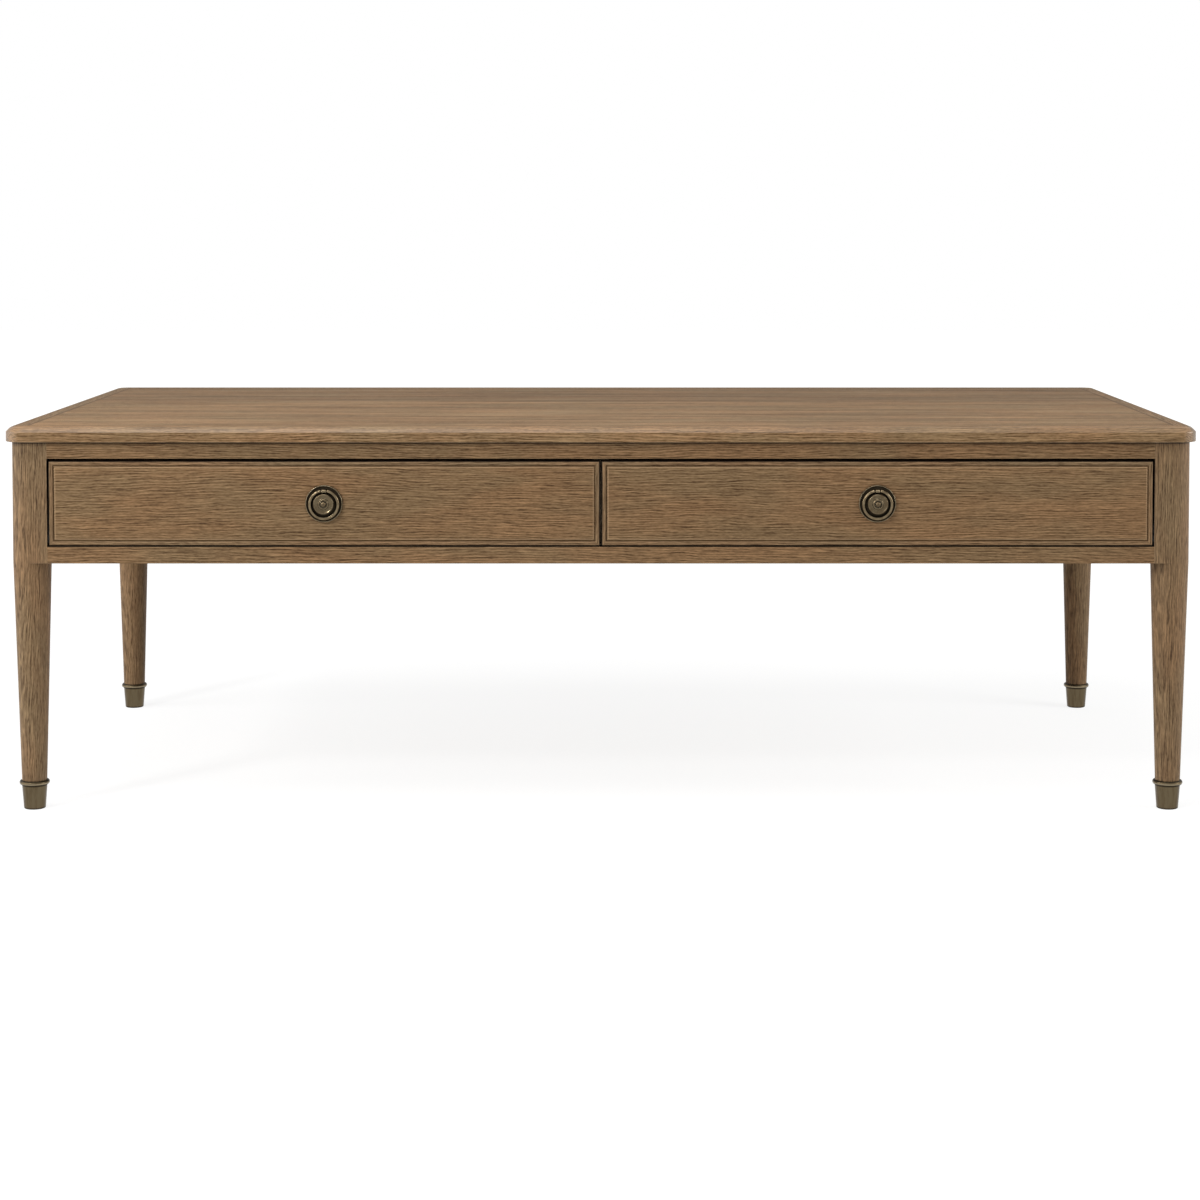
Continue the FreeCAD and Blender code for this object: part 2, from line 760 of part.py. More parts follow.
def pull_plate(hand):
    plate = at_pull(new_body(), hand)
    inner = plate_radius - size["plate_rim_width"]
    hole = size["pull_screw_diameter"] / 2 + size["screw_play"]
    section = draw(
        sketch_on(plate, "YZ_Plane"),
        [
            (zero, hole),
            (-size["plate_floor"], hole),
            (-size["plate_floor"], inner - (size["plate_rim"] - size["plate_floor"]) / 2),
            (-size["plate_rim"], inner),
            (-size["plate_rim"], plate_radius - size["plate_rim_width"] / 3),
            (-size["plate_floor"], plate_radius),
            (zero, plate_radius),
        ],
    )
    revolve(plate, section, "H_Axis")
    reach = size["lug_radius"]
    root_y = -size["plate_floor"] / 2
    lug = draw(
        sketch_on(plate, "YZ_Plane"),
        [
            (root_y, hinge_z - reach),
            (root_y, hinge_z + reach),
            (-size["ring_lift"], hinge_z + reach),
            (-size["ring_lift"] - reach, hinge_z, reach, 1),
            (-size["ring_lift"], hinge_z - reach, reach, 1),
        ],
    )
    pad(plate, lug, size["lug_width"], centred=True)
    bore = draw_circle(
        sketch_on(plate, "YZ_Plane"), -size["ring_lift"], hinge_z, pin_radius + size["pin_play"]
    )
    pocket(plate, bore, size["lug_width"] * 2)
    return plate


def pull_ring(hand):
    ring = at_pull(new_body(), hand, size["ring_drop"])
    section = draw_circle(sketch_on(ring, "YZ_Plane"), -size["ring_lift"], -ring_radius, wire)
    revolve(ring, section, "H_Axis", full_turn - (hinge_half / ring_radius).arcsine() * 2)
    meet = hinge_half - (knuckle * knuckle - pin_radius * pin_radius).root()
    pin = draw(
        sketch_on(ring, "XZ_Plane", lift=size["ring_lift"], rise=hinge_rise),
        [
            (-hinge_half - knuckle, zero),
            (-hinge_half, knuckle, knuckle, -1),
            (-meet, pin_radius, knuckle, -1),
            (meet, pin_radius),
            (hinge_half, knuckle, knuckle, -1),
            (hinge_half + knuckle, zero, knuckle, -1),
        ],
    )
    revolve(ring, pin, "H_Axis")
    return ring


def pull_boss(hand):
    """A coved stem that carries a dished face with a crown and a button in its middle."""
    boss = at_pull(new_body(), hand)
    floor = size["plate_floor"]
    outer = size["boss_diameter"] / 2
    crown = size["boss_crown"] / 2
    rise = size["boss_crown_rise"]
    button = size["boss_button"] / 2
    cap = size["boss_button_rise"]
    socket = size["pull_screw_diameter"] / 2 + size["screw_play"]
    rim_y = floor + size["boss_height"]
    dish_y = rim_y - size["boss_dish"]
    crown_y = dish_y + rise
    quirk_y = crown_y - size["boss_quirk"]
    tip_y = quirk_y + cap
    socket_y = floor + size["pull_screw_grip"] + size["screw_play"]
    section = draw(
        sketch_on(boss, "YZ_Plane"),
        [
            (-floor, socket),
            (-floor, size["boss_foot"] / 2),
            (size["boss_rim"] - rim_y, outer, size["boss_cove"], -1),
            (-rim_y, outer - size["boss_rim"], size["boss_rim"], 1),
            (-dish_y, crown, size["boss_dish_radius"], -1),
            (-crown_y, crown - rise, rise, 1),
            (-quirk_y, button),
            (-tip_y, zero, (button * button + cap * cap) / (cap * 2), 1),
            (-socket_y, zero),
            (-socket_y, socket),
        ],
    )
    revolve(boss, section, "H_Axis")
    return boss


def pull_screw(hand):
    screw = at_pull(new_body(), hand)
    head_y = size["front_thickness"]
    tip_y = -size["plate_floor"] - size["pull_screw_grip"]
    shank = size["pull_screw_diameter"] / 2
    head = size["pull_screw_head"] / 2
    section = draw(
        sketch_on(screw, "YZ_Plane"),
        [
            (tip_y, zero),
            (tip_y, shank),
            (head_y, shank),
            (head_y, head),
            (head_y + size["pull_screw_head_height"] / 2, head),
            (head_y + size["pull_screw_head_height"], head - size["pull_screw_head_height"] / 2),
            (head_y + size["pull_screw_head_height"], zero),
        ],
    )
    revolve(screw, section, "H_Axis")
    return screw


for name, hand in hands.items():
    finished(drawer_front(hand), f"drawer_{name}_front")
    finished(bead_strips(hand), f"drawer_{name}_beads")
    groove_span = wider(runner_z, size["runner_play"] / 2)
    tails = []
    runner_grooves = []
    bottom_groove_y = (front_back - size["groove_depth"], box_end)
    for side, outer_face, toward in (("inner", box_x[0], 1), ("outer", box_x[1], -1)):
        far = outer_face + toward * size["side_thickness"]
        span = both(hand, *((outer_face, far) if toward > 0 else (far, outer_face)))
        depth = outer_face + toward * size["runner_groove"]
        groove_x = both(hand, *((outer_face, depth) if toward > 0 else (depth, outer_face)))
        lower = far - toward * size["groove_depth"]
        bottom_x = both(hand, *((lower, far) if toward > 0 else (far, lower)))
        runner_groove = block(groove_x, (front_back, box_end), groove_span)
        board = fuse(
            block(span, (front_back, back_y[0]), (box_bottom, box_top)),
            block(span, (back_y[0], box_end), (box_bottom, bottom_z[1])),
            tongue(hand, (outer_face + far) / 2, (box_bottom, box_top)),
            *[tail(span, share) for share in tail_share],
        )
        bottom_groove = block(bottom_x, bottom_groove_y, wider(bottom_z, fit))
        finished(cut(board, runner_groove, bottom_groove), f"drawer_{name}_{side}_side")
        tails += [tail(span, share, fit) for share in tail_share]
        runner_grooves.append(runner_groove)
    back = block(both(hand, *box_x), back_y, (bottom_z[1], box_top))
    finished(cut(back, *tails, *runner_grooves), f"drawer_{name}_back")
    bottom = block(
        both(hand, box_x[0] + bottom_edge + fit, box_x[1] - bottom_edge - fit),
        (front_back - size["groove_depth"] + fit, box_end),
        bottom_z,
    )
    finished(bottom, f"drawer_{name}_bottom")
    finished(pull_plate(hand), f"pull_{name}_plate")
    finished(pull_boss(hand), f"pull_{name}_boss")
    finished(pull_screw(hand), f"pull_{name}_screw")
    finished(pull_ring(hand), f"pull_{name}_ring")

doc.recompute()

faulty = [item.Label for item in doc.Objects if {"Invalid", "Error"} & set(item.State)]
faulty += [item.Label for item in subparts if item.Shape.isNull() or not item.Shape.isValid()]
if faulty:
    raise RuntimeError("pieces that did not build: " + ", ".join(faulty))

os.makedirs("parts", exist_ok=True)
for item in subparts:
    item.Shape.exportStep(f"parts/{item.Label}.step")
    print(item.Label, len(item.Shape.Solids), round(item.Shape.Volume))
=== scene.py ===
import bpy
import bmesh
import math
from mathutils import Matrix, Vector


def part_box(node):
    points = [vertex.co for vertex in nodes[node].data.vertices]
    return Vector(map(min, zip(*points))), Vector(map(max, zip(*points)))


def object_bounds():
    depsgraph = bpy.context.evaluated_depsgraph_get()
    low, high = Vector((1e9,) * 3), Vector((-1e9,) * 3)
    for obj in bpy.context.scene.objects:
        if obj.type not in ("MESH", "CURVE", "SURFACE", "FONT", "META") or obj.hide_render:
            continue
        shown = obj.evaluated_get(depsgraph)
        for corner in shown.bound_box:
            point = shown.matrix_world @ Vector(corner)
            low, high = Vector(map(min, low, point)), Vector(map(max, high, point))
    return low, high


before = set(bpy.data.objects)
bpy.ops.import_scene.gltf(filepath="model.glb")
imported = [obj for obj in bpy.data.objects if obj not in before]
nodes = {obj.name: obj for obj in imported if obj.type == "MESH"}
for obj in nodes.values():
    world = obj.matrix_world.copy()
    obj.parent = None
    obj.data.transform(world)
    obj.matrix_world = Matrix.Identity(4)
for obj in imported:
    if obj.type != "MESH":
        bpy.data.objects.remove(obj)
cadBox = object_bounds()
scene = bpy.context.scene
scene.view_settings.view_transform = "Standard"
print("frame loaded with", len(nodes), "pieces")


class Wire:
    # one shader socket: an expression on wires adds its own Math nodes
    def __init__(self, tree, socket):
        self.tree = tree
        self.socket = socket

    def node(self, kind, settings={}, sockets={}, output=0):
        made = self.tree.nodes.new(kind)
        for name, value in settings.items():
            setattr(made, name, value)
        for name, value in sockets.items():
            if isinstance(value, Wire):
                self.tree.links.new(value.socket, made.inputs[name])
            else:
                made.inputs[name].default_value = value
        return Wire(self.tree, made.outputs[output])

    def math(self, operation, first, second=0.0):
        return self.node("ShaderNodeMath", {"operation": operation}, {0: first, 1: second})

    def __add__(self, other):
        return self.math("ADD", self, other)

    def __sub__(self, other):
        return self.math("SUBTRACT", self, other)

    def __rsub__(self, other):
        return self.math("SUBTRACT", other, self)

    def __mul__(self, other):
        return self.math("MULTIPLY", self, other)

    __radd__ = __add__
    __rmul__ = __mul__

    def size(self):
        return self.math("ABSOLUTE", self)

    def larger(self, other):
        return self.math("MAXIMUM", self, other)

    def smaller(self, other):
        return self.math("MINIMUM", self, other)

    def reach(self, other):
        # how far a point at these two coordinates lies from the origin
        return self.math("SQRT", self * self + other * other)

    def step(self, low, high):
        # 0 below low, 1 above high, eased between
        return self.node("ShaderNodeMapRange", {"interpolation_type": "SMOOTHSTEP"},
                         {"Value": self, "From Min": low, "From Max": high})

    def line(self, middle, inner, outer):
        # 1 within inner of the middle, 0 past outer
        return 1 - (self - middle).size().step(inner, outer)

    def lifted(self, least):
        # a share from 0 to 1 made to run from least to 1
        return self * (1 - least) + least

    def blend(self, first, second):
        # a colour mix with this wire as its factor
        return self.node("ShaderNodeMix", {"data_type": "RGBA"}, {0: self, 6: first, 7: second}, 2)

    def between(self, first, second):
        # a vector mix with this wire as its factor
        return self.node("ShaderNodeMix", {"data_type": "VECTOR"}, {0: self, 4: first, 5: second}, 1)

    def tinted(self, tint):
        # this colour multiplied by another
        return self.node("ShaderNodeMix", {"data_type": "RGBA", "blend_type": "MULTIPLY"},
                         {0: 1.0, 6: self, 7: tint}, 2)

    def parts(self):
        split = self.node("ShaderNodeSeparateXYZ", {}, {0: self})
        return [Wire(self.tree, socket) for socket in split.socket.node.outputs]

    def vector(self, x, y, z):
        return self.node("ShaderNodeCombineXYZ", {}, {0: x, 1: y, 2: z})

    def stretch(self, x, y, z):
        return self.node("ShaderNodeVectorMath", {"operation": "MULTIPLY"}, {0: self, 1: (x, y, z)})

    def noise(self, detail=0.0, roughness=0.5):
        return self.node("ShaderNodeTexNoise", {}, {"Vector": self, "Scale": 1.0, "Detail": detail,
                                                    "Roughness": roughness})

    def patches(self, setup):
        # noise cut into soft patches
        return self.stretch(*setup["rates"]).noise(setup["detail"]).step(*setup["shown"])

    def relief(self, strength, depth, **normal):
        # a bump with this wire as its height
        return self.node("ShaderNodeBump", {},
                         {"Strength": strength, "Distance": depth, "Height": self, **normal})

    def feed(self, shader, socket):
        self.tree.links.new(self.socket, shader.inputs[socket])


def newMaterial(name):
    material = bpy.data.materials.new(name)
    material.use_nodes = True
    tree = material.node_tree
    shader = tree.nodes["Principled BSDF"]
    where = tree.nodes.new("ShaderNodeTexCoord")
    return material, shader, Wire(tree, where.outputs["Object"])


def facing(where):
    # the surface's own direction, in the object's frame
    return where.node("ShaderNodeTexCoord", output="Normal").parts()


def turnedTo(where, axis, sign, start=0.5, full=0.7):
    # 1 on the faces that look one way along an axis
    return (facing(where)[axis] * sign).step(start, full)


def easedEdge(where, radius):
    # a normal rounded over sharp edges, and how far it leans away from the flat
    rounded = where.node("ShaderNodeBevel", {"samples": 4}, {"Radius": radius})
    flat = where.node("ShaderNodeNewGeometry", output="True Normal")
    along = where.node("ShaderNodeVectorMath", {"operation": "DOT_PRODUCT"}, {0: rounded, 1: flat}, "Value")
    return rounded, 1 - along


def dress(node, material):
    node.data.materials.clear()
    node.data.materials.append(material)


# Camera: a long lens a little above the top, looking slightly down, with the frame raised.
cameraSetup = {
    "place": (0.0302, -3.4653, 0.7114),
    "tilt": 2.547,
    "lens": 80.191,
    "sensor": 36.0,
    "shift": (-0.0221, -0.228),
}
camera = bpy.data.objects.new("camera", bpy.data.cameras.new("camera"))
camera.data.lens = cameraSetup["lens"]
camera.data.sensor_width = cameraSetup["sensor"]
camera.data.shift_x, camera.data.shift_y = cameraSetup["shift"]
camera.location = cameraSetup["place"]
camera.rotation_euler = (math.radians(90 - cameraSetup["tilt"]), 0, 0)
scene.collection.objects.link(camera)
scene.camera = camera
print("camera set")

# Light: a small strong box at the upper left, a large one overhead, one at each side, and a pale surround.
lightSetup = {
    "aim": (0.0, 0.0, 0.35),
    "boxes": {
        "highBox": {"place": (-2.4, -2.6, 2.4), "size": (0.5, 0.5), "power": 57},
        "overBox": {"place": (-0.5, -1.2, 3.4), "size": (2.4, 1.6), "power": 47},
        "leftBox": {"place": (-2.6, -0.6, 1.3), "size": (1.5, 1.7), "power": 33},
        "rightBox": {"place": (2.6, -0.6, 1.3), "size": (1.2, 1.4), "power": 33},
    },
    "surround": 0.40,
}
for name, box in lightSetup["boxes"].items():
    lamp = bpy.data.lights.new(name, "AREA")
    lamp.shape = "RECTANGLE"
    lamp.size, lamp.size_y = box["size"]
    lamp.energy = box["power"]
    lampObject = bpy.data.objects.new(name, lamp)
    lampObject.location = box["place"]
    toward = Vector(lightSetup["aim"]) - Vector(box["place"])
    lampObject.rotation_euler = toward.to_track_quat("-Z", "Y").to_euler()
    scene.collection.objects.link(lampObject)


def seenDirectly(start):
    # 1 for what the camera sees, straight or in a reflection
    path = start.tree.nodes.new("ShaderNodeLightPath")
    rays = [Wire(start.tree, path.outputs[name])
            for name in ("Is Camera Ray", "Is Glossy Ray", "Is Transmission Ray")]
    return rays[0].larger(rays[1]).larger(rays[2])


white, black = (1, 1, 1, 1), (0, 0, 0, 1)
world = bpy.data.worlds.new("surround")
world.use_nodes = True
scene.world = world
backdrop = world.node_tree.nodes["Background"]
backdrop.inputs["Color"].default_value = white
seenDirectly(Wire(world.node_tree, None)).lifted(lightSetup["surround"]).feed(backdrop, "Strength")

# Floor: it bounces a plain pale light, and shows as white with the table's shadow.
floorSetup = {"radius": 12.0, "bounce": 0.72, "shade": 0.20, "glow": 0.85, "fade": (0.9, 2.6)}
floorMesh = bpy.data.meshes.new("floor")
sheet = bmesh.new()
bmesh.ops.create_grid(sheet, x_segments=1, y_segments=1, size=floorSetup["radius"])
sheet.to_mesh(floorMesh)
sheet.free()
floor = bpy.data.objects.new("floor", floorMesh)
scene.collection.objects.link(floor)
floorPaint, floorShader, floorWhere = newMaterial("floorPaint")
floorShader.inputs["Roughness"].default_value = 1.0
floorShader.inputs["Specular IOR Level"].default_value = 0.0
floorShader.inputs["Emission Strength"].default_value = 1.0
seen = seenDirectly(floorWhere)
floorX, floorY = floorWhere.parts()[:2]
faded = floorX.reach(floorY).step(*floorSetup["fade"])
bounce, shade, glow = [(floorSetup[key],) * 3 + (1,) for key in ("bounce", "shade", "glow")]
seen.blend(bounce, shade).feed(floorShader, "Base Color")
seen.blend(black, faded.blend(glow, white)).feed(floorShader, "Emission Color")
dress(floor, floorPaint)
print("light and floor set")

# Oak: one solid wood that runs through a whole board. Threads are its fine lines and bands its slow
# changes, each with its repeats in a metre along and across the grain, and how much it darkens.
oakLooks = {
    "stained": {
        "light": (0.322, 0.187, 0.090, 1), "dark": (0.056, 0.028, 0.011, 1),
        "olive": (0.288, 0.186, 0.094, 1), "wornAndHighlight": (0.46, 0.31, 0.175, 1),
        "threads": [(12.0, 1000.0, 0.50), (42.0, 1050.0, 0.52), (120.0, 1100.0, 0.56), (270.0, 1150.0, 0.40)],
        "bands": [(24.0, 330.0, 0.06), (9.0, 160.0, 0.05), (4.0, 70.0, 0.06), (2.2, 28.0, 0.10)],
        "fibre": 0.33, "swing": 9.0, "pores": 0.08, "rings": 0.02, "middle": 0.46,
        "roughness": 0.60, "gloss": 0.13, "relief": 0.35, "wear": 0.45,
    },
    "pale": {
        "light": (0.560, 0.420, 0.265, 1), "dark": (0.270, 0.175, 0.092, 1),
        "olive": (0.520, 0.410, 0.275, 1), "wornAndHighlight": (0.60, 0.47, 0.32, 1),
        "threads": [(12.0, 940.0, 0.45), (42.0, 980.0, 0.45), (120.0, 1020.0, 0.40)],
        "bands": [(24.0, 330.0, 0.30), (9.0, 160.0, 0.25), (4.0, 70.0, 0.25), (2.2, 28.0, 0.22)],
        "fibre": 0.15, "swing": 9.0, "pores": 0.22, "rings": 0.12, "middle": 0.36,
        "roughness": 0.62, "gloss": 0.25, "relief": 0.25, "wear": 0.20,
    },
}
stained, pale = oakLooks["stained"], oakLooks["pale"]
# near-black painted shade, used in the drawer gaps, on the faces of the openings and as the painted shadow
# under the top
paintedShadeBlack = (0.006, 0.004, 0.003, 1)

# What all boards share, with rates in repeats to a metre along, across and through the grain.
grainSetup = {
    "order": {"x": (0, 1, 2), "y": (1, 0, 2), "z": (2, 0, 1)},
    "shift": (0.73, 0.31, 0.17),
    "drifts": [((1.6, 7.0, 7.0), 0.020), ((17.0, 55.0, 55.0), 0.0026)],
    "throughDrift": 0.6,
    "fibreRate": 2050.0, "fibreDrift": 1.6, "fibreSwing": (26.0, 200.0, 200.0),
    "fibrePatches": {"rates": (60.0, 380.0, 380.0), "detail": 1.0, "shown": (0.30, 0.66)},
    "pith": (0.16, 0.09), "ringRate": 240.0, "ringSlant": 1.5,
    "ringRise": (0.0, 0.16), "ringFall": (0.22, 0.75), "ringMean": 0.3,
    "pores": {"rates": (95.0, 1000.0, 1000.0), "detail": 1.0, "shown": (0.56, 0.66)}, "latePores": 0.4,
    "clouds": {"rates": (7.0, 26.0, 26.0), "detail": 2.0, "shown": (0.32, 0.68)},
    "rubAndHighlight": {"rates": (28.0, 90.0, 90.0), "detail": 2.0, "shown": (0.36, 0.62)}, "leastRub": 0.3,
    "edge": 0.0009, "edgeLean": (0.02, 0.20),
    "darkRoughness": 0.14, "lightRoughness": -0.06, "reliefDepth": 0.0004,
}


class Board:
    # the wires of one oak board, so that a piece can add its own marks before it is sealed
    def __init__(self, name, look, grain, shift, gloss=None, turned=None):
        self.look = look
        self.material, self.shader, self.where = newMaterial(name)
        where = self.where
        axes = (turned(where) if turned else where).parts()
        order = grainSetup["order"][grain]
        along, across, through = [axes[index] + offset for index, offset in zip(order, shift)]
        straight = where.vector(along, across, through)
        slow, quick = [(straight.stretch(*rates).noise(1.0) - 0.5) * reach
                       for rates, reach in grainSetup["drifts"]]
        wander = slow + quick
        sideways = wander * grainSetup["throughDrift"]
        waved = where.vector(along, across + wander, through + sideways)
        darkness = look["middle"]
        for alongRate, acrossRate, depth in look["threads"] + look["bands"]:
            darkness = (waved.stretch(alongRate, acrossRate, acrossRate).noise() - 0.5) * depth + darkness

        swing = waved.stretch(*grainSetup["fibreSwing"]).noise(1.0) * look["swing"]
        level = across + through + wander * grainSetup["fibreDrift"]
        fibres = where.math("SINE", level * grainSetup["fibreRate"] + swing)
        darkness = fibres * waved.patches(grainSetup["fibrePatches"]) * look["fibre"] + darkness

        # growth rings round a pith outside the board, with most of the pores in their early wood
        ringAcross = across + wander - shift[1] - grainSetup["pith"][0]
        ringThrough = through + sideways - shift[2] + grainSetup["pith"][1]
        rings = ringAcross.reach(ringThrough) * grainSetup["ringRate"] + along * grainSetup["ringSlant"]
        phase = where.math("FRACT", rings)
        early = phase.step(*grainSetup["ringRise"]) * (1 - phase.step(*grainSetup["ringFall"]))
        pores = waved.patches(grainSetup["pores"]) * early.lifted(grainSetup["latePores"])
        self.darkness = darkness + pores * look["pores"] + (early - grainSetup["ringMean"]) * look["rings"]

        clouds = straight.patches(grainSetup["clouds"])
        self.colour = self.darkness.blend(clouds.blend(look["light"], look["olive"]), look["dark"])
        lightRoughness = look["roughness"] + grainSetup["lightRoughness"]
        self.roughness = self.darkness * grainSetup["darkRoughness"] + lightRoughness
        self.shader.inputs["Specular IOR Level"].default_value = look["gloss"] if gloss is None else gloss
        self.rounded, lean = easedEdge(where, grainSetup["edge"])
        rubAndHighlight = straight.patches(grainSetup["rubAndHighlight"]).lifted(grainSetup["leastRub"])
        self.wear = lean.step(*grainSetup["edgeLean"]) * rubAndHighlight * look["wear"]

    def stain(self, mask, colour):
        # a dark or light mark, which hides the wear under it
        self.colour = mask.blend(self.colour, colour)
        self.wear = self.wear * (1 - mask)
        return self

    def tone(self, tint):
        self.colour = self.colour.tinted(tint + (1,))
        return self

    def bare(self, mask):
        # faces that were never stained
        raw = self.darkness.blend(pale["light"], pale["dark"])
        self.colour = mask.blend(self.colour, raw)
        return self

    def seal(self):
        self.colour = self.wear.blend(self.colour, self.look["wornAndHighlight"])
        self.colour.feed(self.shader, "Base Color")
        self.roughness.feed(self.shader, "Roughness")
        height = 1 - self.darkness
        relief = height.relief(self.look["relief"], grainSetup["reliefDepth"], Normal=self.rounded)
        relief.feed(self.shader, "Normal")
        return self.material


def boardShift(count):
    # each board is cut from another place in the wood
    return tuple(part * count for part in grainSetup["shift"])


# Top: boards glued edge to edge inside mitred lippings, of which the front one is polished and painted
# lighter, a painted highlight for its lit eased edge.
topSetup = {
    "joints": (-0.187, 0.061), "jointBlur": 0.0004, "jointLine": (0.0002, 0.0012), "jointDark": 0.35,
    "tones": ((1.04, 1.06, 1.07), (1.04, 1.06, 1.07), (0.84, 0.85, 0.86)),
    "bands": [(14.0, 330.0, 0.26), (6.0, 160.0, 0.44), (4.0, 70.0, 0.50), (2.2, 28.0, 0.48)],
    # the front lipping's lighter tone is a painted highlight; the other three are toned a little darker and
    # cooler
    "lippings": {
        "front": ("x", (1.17, 1.18, 1.18)), "right": ("y", (0.88, 0.92, 0.98)),
        "back": ("x", (0.88, 0.92, 0.98)), "left": ("y", (0.88, 0.92, 0.98)),
    },
    "lippingWidth": 0.025,
    "lippingBands": [(24.0, 330.0, 0.26), (9.0, 160.0, 0.22), (4.0, 70.0, 0.10), (2.2, 28.0, 0.10)],
    "seam": (0.0008, 0.0020), "seamDark": 0.75, "underside": (0.6, 0.8),
    "gloss": 0.12, "roughness": 0.66, "darkRoughness": 0.10, "polish": 0.65, "polishRoughness": 0.32,
    "easedFrom": (0.15, 0.40), "easedTo": (0.93, 0.99), "corner": (0.12, 0.40),
}


def topBoard(name, bands, grain, count):
    # stained oak with the satin finish of the top
    board = Board(name, {**stained, "bands": bands}, grain, boardShift(count), topSetup["gloss"])
    board.roughness = board.darkness * topSetup["darkRoughness"] + topSetup["roughness"]
    return board


def sealTop(board, border):
    # the dark seam between the panel and its lippings, and a bare underside
    board.stain((1 - border.step(*topSetup["seam"])) * topSetup["seamDark"], stained["dark"])
    return board.bare(turnedTo(board.where, 2, -1, *topSetup["underside"])).seal()


panel = topBoard("oakTopPanel", topSetup["bands"], "x", 1)
panelX, panelY = panel.where.parts()[:2]
tint = topSetup["tones"][0] + (1,)
for joint, tone in zip(topSetup["joints"], topSetup["tones"][1:]):
    past = panelY.step(joint - topSetup["jointBlur"], joint + topSetup["jointBlur"])
    tint = past.blend(tint, tone + (1,))
panel.colour = panel.colour.tinted(tint)
for joint in topSetup["joints"]:
    panel.stain(panelY.line(joint, *topSetup["jointLine"]) * topSetup["jointDark"], stained["dark"])
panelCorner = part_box("top_panel")[1]
border = (panelCorner[0] - panelX.size()).smaller(panelCorner[1] - panelY.size())
dress(nodes["top_panel"], sealTop(panel, border))
for count, (side, (grain, tone)) in enumerate(topSetup["lippings"].items(), 2):
    lipping = topBoard("oakLipping_" + side, topSetup["lippingBands"], grain, count)
    lipping.tone(tone)
    nx, ny, nz = facing(lipping.where)
    eased = nz.step(*topSetup["easedFrom"]) * (1 - nz.step(*topSetup["easedTo"]))
    corner = (nx * ny).size().step(*topSetup["corner"])
    (eased * topSetup["polish"]).larger(corner).feed(lipping.shader, "Coat Weight")
    lipping.shader.inputs["Coat Roughness"].default_value = topSetup["polishRoughness"]
    fromPanel = [place.size() - edge + topSetup["lippingWidth"]
                 for place, edge in zip(lipping.where.parts()[:2], cadBox[1][:2])]
    dress(nodes["top_lipping_" + side], sealTop(lipping, fromPanel[0].larger(fromPanel[1])))
print("top done")

# Frame: legs, rails and aprons. The faces of the openings carry painted shade, and the line under the top a
# painted shadow.
frameSetup = {
    "legLook": {**stained, "swing": 15.0, "roughness": 0.52},
    "legGloss": 0.20, "legTone": (0.935, 0.96, 0.98),
    "overhangShadowBand": (0.0032, 0.0012), "overhangShadow": 0.8, "jambBlur": 0.0005,
}
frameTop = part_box("back_apron")[1][2]
openingLow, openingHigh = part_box("front_bottom_rail")[1][2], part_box("front_top_rail")[0][2]


def shadowUnderTop(board):
    # painted shadow: a dark line along the top of the frame, under the overhang of the top
    start, full = [frameTop - below for below in frameSetup["overhangShadowBand"]]
    return board.stain(board.where.parts()[2].step(start, full) * frameSetup["overhangShadow"], paintedShadeBlack)


count = 6
for side, hand in (("left", -1), ("right", 1)):
    for end in ("front", "back"):
        name = f"{end}_{side}"
        leg = Board("oakLeg_" + name, frameSetup["legLook"], "z", boardShift(count), frameSetup["legGloss"])
        shadowUnderTop(leg.tone(frameSetup["legTone"]))
        # painted shade on the front legs' faces inside the drawer openings
        if end == "front":
            height, blur = leg.where.parts()[2], frameSetup["jambBlur"]
            jamb = height.step(openingLow, openingLow + blur)
            jamb = jamb * (1 - height.step(openingHigh - blur, openingHigh))
            leg.stain(turnedTo(leg.where, 0, -hand) * jamb, paintedShadeBlack)
        dress(nodes["leg_" + name], leg.seal())
        count += 1
    apron = Board("oakSideApron_" + side, stained, "y", boardShift(count))
    shadowUnderTop(apron).bare(turnedTo(apron.where, 0, -hand))
    dress(nodes["side_apron_" + side], apron.seal())
    count += 1
for name, opening in (("front_top_rail", -1), ("front_bottom_rail", 1)):
    rail = Board("oakRail_" + name, stained, "x", boardShift(count))
    # painted shade on the rail faces that look into the drawer opening
    rail.stain(turnedTo(rail.where, 2, opening), paintedShadeBlack)
    shadowUnderTop(rail).bare(turnedTo(rail.where, 1, 1))
    dress(nodes[name], rail.seal())
    count += 1
back = Board("oakBackApron", stained, "x", boardShift(count))
shadowUnderTop(back).bare(turnedTo(back.where, 1, -1))
dress(nodes["back_apron"], back.seal())
divider = Board("oakDivider", pale, "y", boardShift(count + 1))
dress(nodes["centre_divider"], divider.seal())
print("frame done")

# Drawers: stained fronts inside mitred beads, with boxes of pale sanded oak. Lengths are in metres from the
# edge of the front, and the quirk is the groove between the bead and the field.
drawerSetup = {
    "bead": 0.0054, "beadTone": (0.98, 1.02, 1.08), "beadEdge": (0.0004, 0.0011), "beadRim": (0.0012, 0.0020),
    "beadFoot": (0.0007, 0.0001), "beadFootShade": 0.6,
    "quirk": 0.0003, "quirkLine": (0.0002, 0.0012), "quirkShade": 0.78,
    "faintTop": (0.012, 0.009), "faint": 0.40,
    "uneven": {"rates": (14.0, 14.0, 14.0), "detail": 2.0, "shown": (0.3, 0.7)}, "unevenShare": 0.30,
    "frontEdge": (0.0006, 0.0012), "frontEdgeShade": 0.8,
    "paintedHighlight": 0.0020, "highlightLine": (0.0004, 0.0011), "highlightShare": 0.35,
    "boxGrain": {"inner_side": "y", "outer_side": "y", "back": "x", "bottom": "y"},
}


